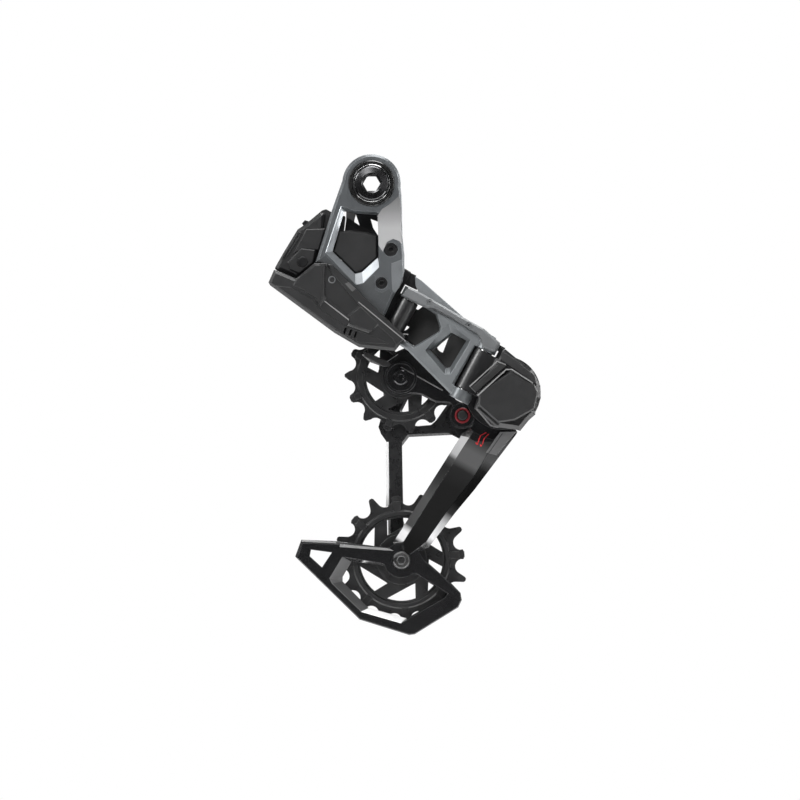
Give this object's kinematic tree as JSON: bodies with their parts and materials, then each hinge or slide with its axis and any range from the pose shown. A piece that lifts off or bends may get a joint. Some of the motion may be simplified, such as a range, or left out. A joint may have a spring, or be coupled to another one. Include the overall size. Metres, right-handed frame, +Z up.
{
  "type": "rear bicycle derailleur",
  "caption": "Wireless direct-mount rear derailleur: clamped mount knuckle with battery and gearmotor, parallelogram links, sprung cage with two toothed pulleys.",
  "frame": {"origin": "wheel axle's axis, middle of the dropout gap between the two mount arms", "axes": "+X forward on the bicycle, +Y inboard towards the wheel along the axle, +Z up"},
  "size_m": [0.1409, 0.0579, 0.2509],
  "materials": {
    "cast_grey": "satin metallic grey",
    "body_black": "satin black",
    "plastic_black": "fine grained black",
    "gloss_black": "polished black anodised",
    "dark_chrome": "dark chrome",
    "bright_ring": "bright turned",
    "steel": "plain steel",
    "black_oxide": "black oxide steel",
    "bronze": "sintered bronze",
    "aluminium": "machined",
    "red_anodised": "red anodised",
    "circuit": "lacquered board",
    "gold_contact": "gilt",
    "lamp": "clear grey",
    "pulley_black": "moulded black"
  },
  "bodies": {
    "mount_knuckle": {"mount_arm_outer": "cast_grey", "b_knuckle_housing": "body_black", "mount_bolt": "dark_chrome", "mount_insert": "black_oxide", "bolt_ring_dark": "body_black", "bolt_ring_bright": "bright_ring", "arm_screw_upper": "black_oxide", "arm_screw_lower": "black_oxide", "skid_cover": "plastic_black", "cover_screws": "black_oxide", "window_plate": "plastic_black", "gearmotor_can": "steel", "motor_bay_cap": "plastic_black", "circuit_board": "circuit", "battery_contacts": "gold_contact", "lamp_lens": "lamp", "pin_b_outer": "steel", "pin_b_inner": "steel"},
    "motor_rotor": {"motor_pinion": "bronze"},
    "pairing_key": {"pairing_button": "plastic_black"},
    "battery": {"battery_shell": "plastic_black", "battery_disc": "plastic_black", "latch_pivot": "steel"},
    "latch": {"battery_latch": "aluminium"},
    "outer_link": {"outer_link": "cast_grey", "outer_bumper": "cast_grey", "bumper_screws": "black_oxide", "outer_link_bushes": "bronze"},
    "inner_link": {"inner_link": "body_black", "output_gear": "bronze", "inner_link_bushes": "bronze"},
    "cage_knuckle": {"p_knuckle_housing": "body_black", "p_knuckle_cover": "plastic_black", "pin_p_outer": "steel", "pin_p_inner": "steel", "clutch_can": "steel"},
    "cage": {"cage_outer": "gloss_black", "cage_inner": "gloss_black", "cage_stud_screw": "black_oxide", "cage_spindle": "aluminium", "tension_spring": "black_oxide", "upper_bolt": "black_oxide", "lower_bolt": "bright_ring", "lock_ring": "red_anodised", "upper_race_inner": "steel", "lower_race_inner": "steel"},
    "lock_key": {"lock_button": "plastic_black"},
    "upper_pulley": {"upper_wheel": "pulley_black", "upper_race_outer": "steel", "upper_balls": "steel", "upper_shields": "black_oxide"},
    "lower_pulley": {"lower_wheel": "pulley_black", "lower_race_outer": "steel", "lower_balls": "steel", "lower_shields": "black_oxide"}
  },
  "joints": [
    {"name": "shift", "type": "hinge", "parent": "mount_knuckle", "child": "outer_link", "pos_m": [0.01604, -0.008, -0.06771], "axis": [0.4695, 0, 0.8829], "range_deg": [0, 50]},
    {"name": "inner_link_pivot", "type": "hinge", "parent": "mount_knuckle", "child": "inner_link", "pos_m": [0.01604, 0.006, -0.06771], "axis": [0.4695, 0, 0.8829], "range_deg": [0, 50]},
    {"name": "knuckle_pivot", "type": "hinge", "parent": "outer_link", "child": "cage_knuckle", "pos_m": [0.05314, -0.02249, -0.09763], "axis": [0.4695, 0, 0.8829], "range_deg": [-50, 0]},
    {"name": "motor_spin", "type": "hinge", "parent": "mount_knuckle", "child": "motor_rotor", "pos_m": [0.00685, 0.006, -0.05943], "axis": [0.4695, 0, 0.8829], "range_deg": [-151, 0]},
    {"name": "cage_pivot", "type": "hinge", "parent": "cage_knuckle", "child": "cage", "pos_m": [0.0683, 0, -0.1088], "axis": [0, -1, 0], "range_deg": [0, 90], "stiffness_Nm_per_rad": 0.35, "springref_deg": -91.67, "deforming": ["tension_spring"]},
    {"name": "cage_lock", "type": "slide", "parent": "cage", "child": "lock_key", "axis": [0, 1, 0], "range_m": [0, 0.003], "stiffness_N_per_m": 300, "springref_m": -0.001},
    {"name": "upper_pulley_spin", "type": "hinge", "parent": "cage", "child": "upper_pulley", "pos_m": [0.0152, 0.014, -0.1006], "axis": [0, 1, 0], "continuous": true},
    {"name": "lower_pulley_spin", "type": "hinge", "parent": "cage", "child": "lower_pulley", "pos_m": [0.0155, 0.014, -0.1964], "axis": [0, 1, 0], "continuous": true},
    {"name": "pairing_press", "type": "slide", "parent": "mount_knuckle", "child": "pairing_key", "axis": [0, 1, 0], "range_m": [0, 0.0006], "stiffness_N_per_m": 600, "springref_m": -0.0008},
    {"name": "battery_slide", "type": "slide", "parent": "mount_knuckle", "child": "battery", "axis": [-0.8829, 0, 0.4695], "range_m": [0, 0.03]},
    {"name": "latch_pivot", "type": "hinge", "parent": "battery", "child": "latch", "pos_m": [-0.025, 0.0115, -0.024], "axis": [0, 1, 0], "range_deg": [0, 25]}
  ],
  "couplings": [
    {"joint": "inner_link_pivot", "follows": "shift", "ratio": 1},
    {"joint": "knuckle_pivot", "follows": "shift", "ratio": -1},
    {"joint": "motor_spin", "follows": "shift", "ratio": -3}
  ]
}
